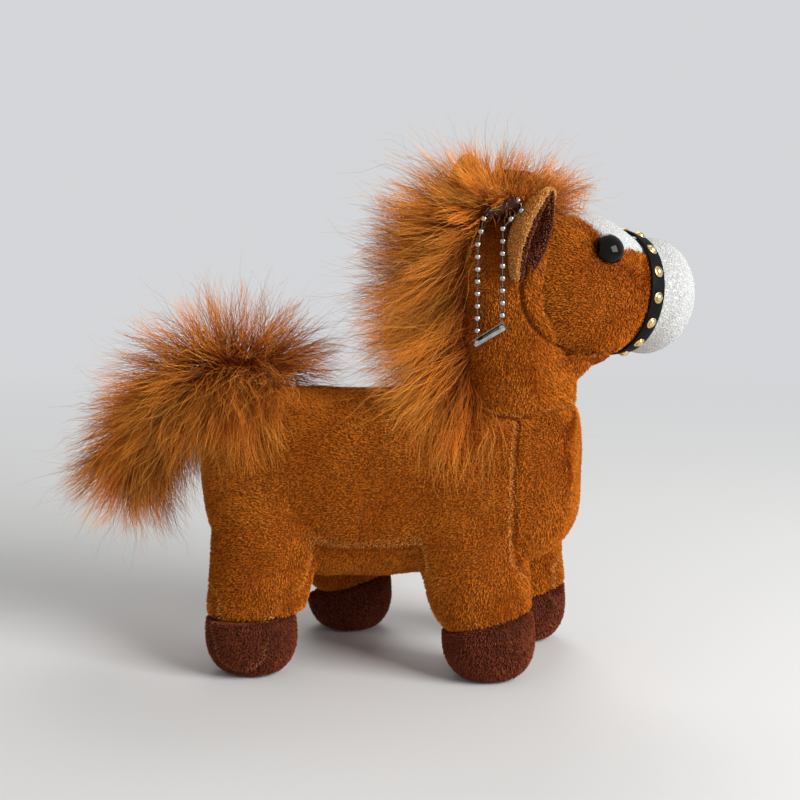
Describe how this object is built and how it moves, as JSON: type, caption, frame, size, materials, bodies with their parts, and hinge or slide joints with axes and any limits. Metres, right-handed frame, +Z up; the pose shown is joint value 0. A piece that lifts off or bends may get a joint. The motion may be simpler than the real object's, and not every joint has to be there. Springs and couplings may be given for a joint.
{
  "type": "plush horse",
  "caption": "Small stuffed toy horse with long fur mane and tail, white blaze and muzzle, studded noseband, and a bead chain loop that swings from a ribbon tab.",
  "frame": {"origin": "on the ground, under the middle of the toy's bounding box", "axes": "+X from the tail towards the chest, +Y to the horse's left, +Z up; the head is turned to the horse's left"},
  "size_m": [0.1782, 0.0742, 0.1412],
  "materials": {
    "brown_plush": "short chestnut plush pile",
    "dark_plush": "short dark brown plush pile",
    "white_plush": "short white plush pile",
    "long_fur": "long straight chestnut fur",
    "filling": "white polyester fibre",
    "black_ribbon": "black satin ribbon",
    "brown_ribbon": "dark brown satin ribbon",
    "gold_studs": "polished pale gold",
    "silver_chain": "polished nickel",
    "black_eye": "polished black plastic dome",
    "washer_plastic": "plain white plastic"
  },
  "bodies": {
    "root": {"body_filling": "filling", "side_panel_left": "brown_plush", "side_panel_right": "brown_plush", "underside_strip": "brown_plush", "leg_rear_right": "brown_plush", "leg_rear_left": "brown_plush", "leg_front_right": "brown_plush", "leg_front_left": "brown_plush", "hoof_rear_right": "dark_plush", "hoof_rear_left": "dark_plush", "hoof_front_right": "dark_plush", "hoof_front_left": "dark_plush", "neck_cover": "brown_plush", "neck_filling": "filling", "head_filling": "filling", "cheek_panel_left": "brown_plush", "cheek_panel_right": "brown_plush", "forehead_blaze": "white_plush", "muzzle": "white_plush", "noseband": "black_ribbon", "stud_01": "gold_studs", "stud_02": "gold_studs", "stud_03": "gold_studs", "stud_04": "gold_studs", "stud_05": "gold_studs", "stud_06": "gold_studs", "stud_07": "gold_studs", "stud_08": "gold_studs", "stud_09": "gold_studs", "stud_10": "gold_studs", "stud_11": "gold_studs", "stud_12": "gold_studs", "stud_13": "gold_studs", "stud_14": "gold_studs", "stud_15": "gold_studs", "eye_left": "black_eye", "eye_right": "black_eye", "eye_washer_left": "washer_plastic", "eye_washer_right": "washer_plastic", "ear_left": "brown_plush", "ear_right": "brown_plush", "ear_lining_left": "dark_plush", "ear_lining_right": "dark_plush", "mane": "long_fur", "tail": "long_fur", "chain_tab": "brown_ribbon"},
    "arch": {"chain_arch": "silver_chain"},
    "front_strand": {"chain_strand_front": "silver_chain"},
    "rear_strand": {"chain_strand_rear": "silver_chain"},
    "clip": {"chain_clip": "silver_chain"}
  },
  "joints": [
    {"name": "chain_swing", "type": "hinge", "parent": "root", "child": "arch", "pos_m": [0.0412, -0.0205, 0.1276], "axis": [-0.9373, 0, -0.3486], "range_deg": [0, 80]},
    {"name": "front_sway", "type": "hinge", "parent": "arch", "child": "front_strand", "pos_m": [0.04146, -0.0205, 0.12197], "axis": [0, 1, 0], "range_deg": [-4, 20]},
    {"name": "rear_sway", "type": "hinge", "parent": "arch", "child": "rear_strand", "pos_m": [0.03496, -0.0205, 0.11781], "axis": [0, 1, 0], "range_deg": [-4, 20]},
    {"name": "clip_level", "type": "hinge", "parent": "front_strand", "child": "clip", "pos_m": [0.04146, -0.0205, 0.09637], "axis": [0, 1, 0], "range_deg": [-20, 4]}
  ],
  "couplings": [
    {"joint": "rear_sway", "follows": "front_sway", "ratio": 1},
    {"joint": "clip_level", "follows": "front_sway", "ratio": -1}
  ]
}
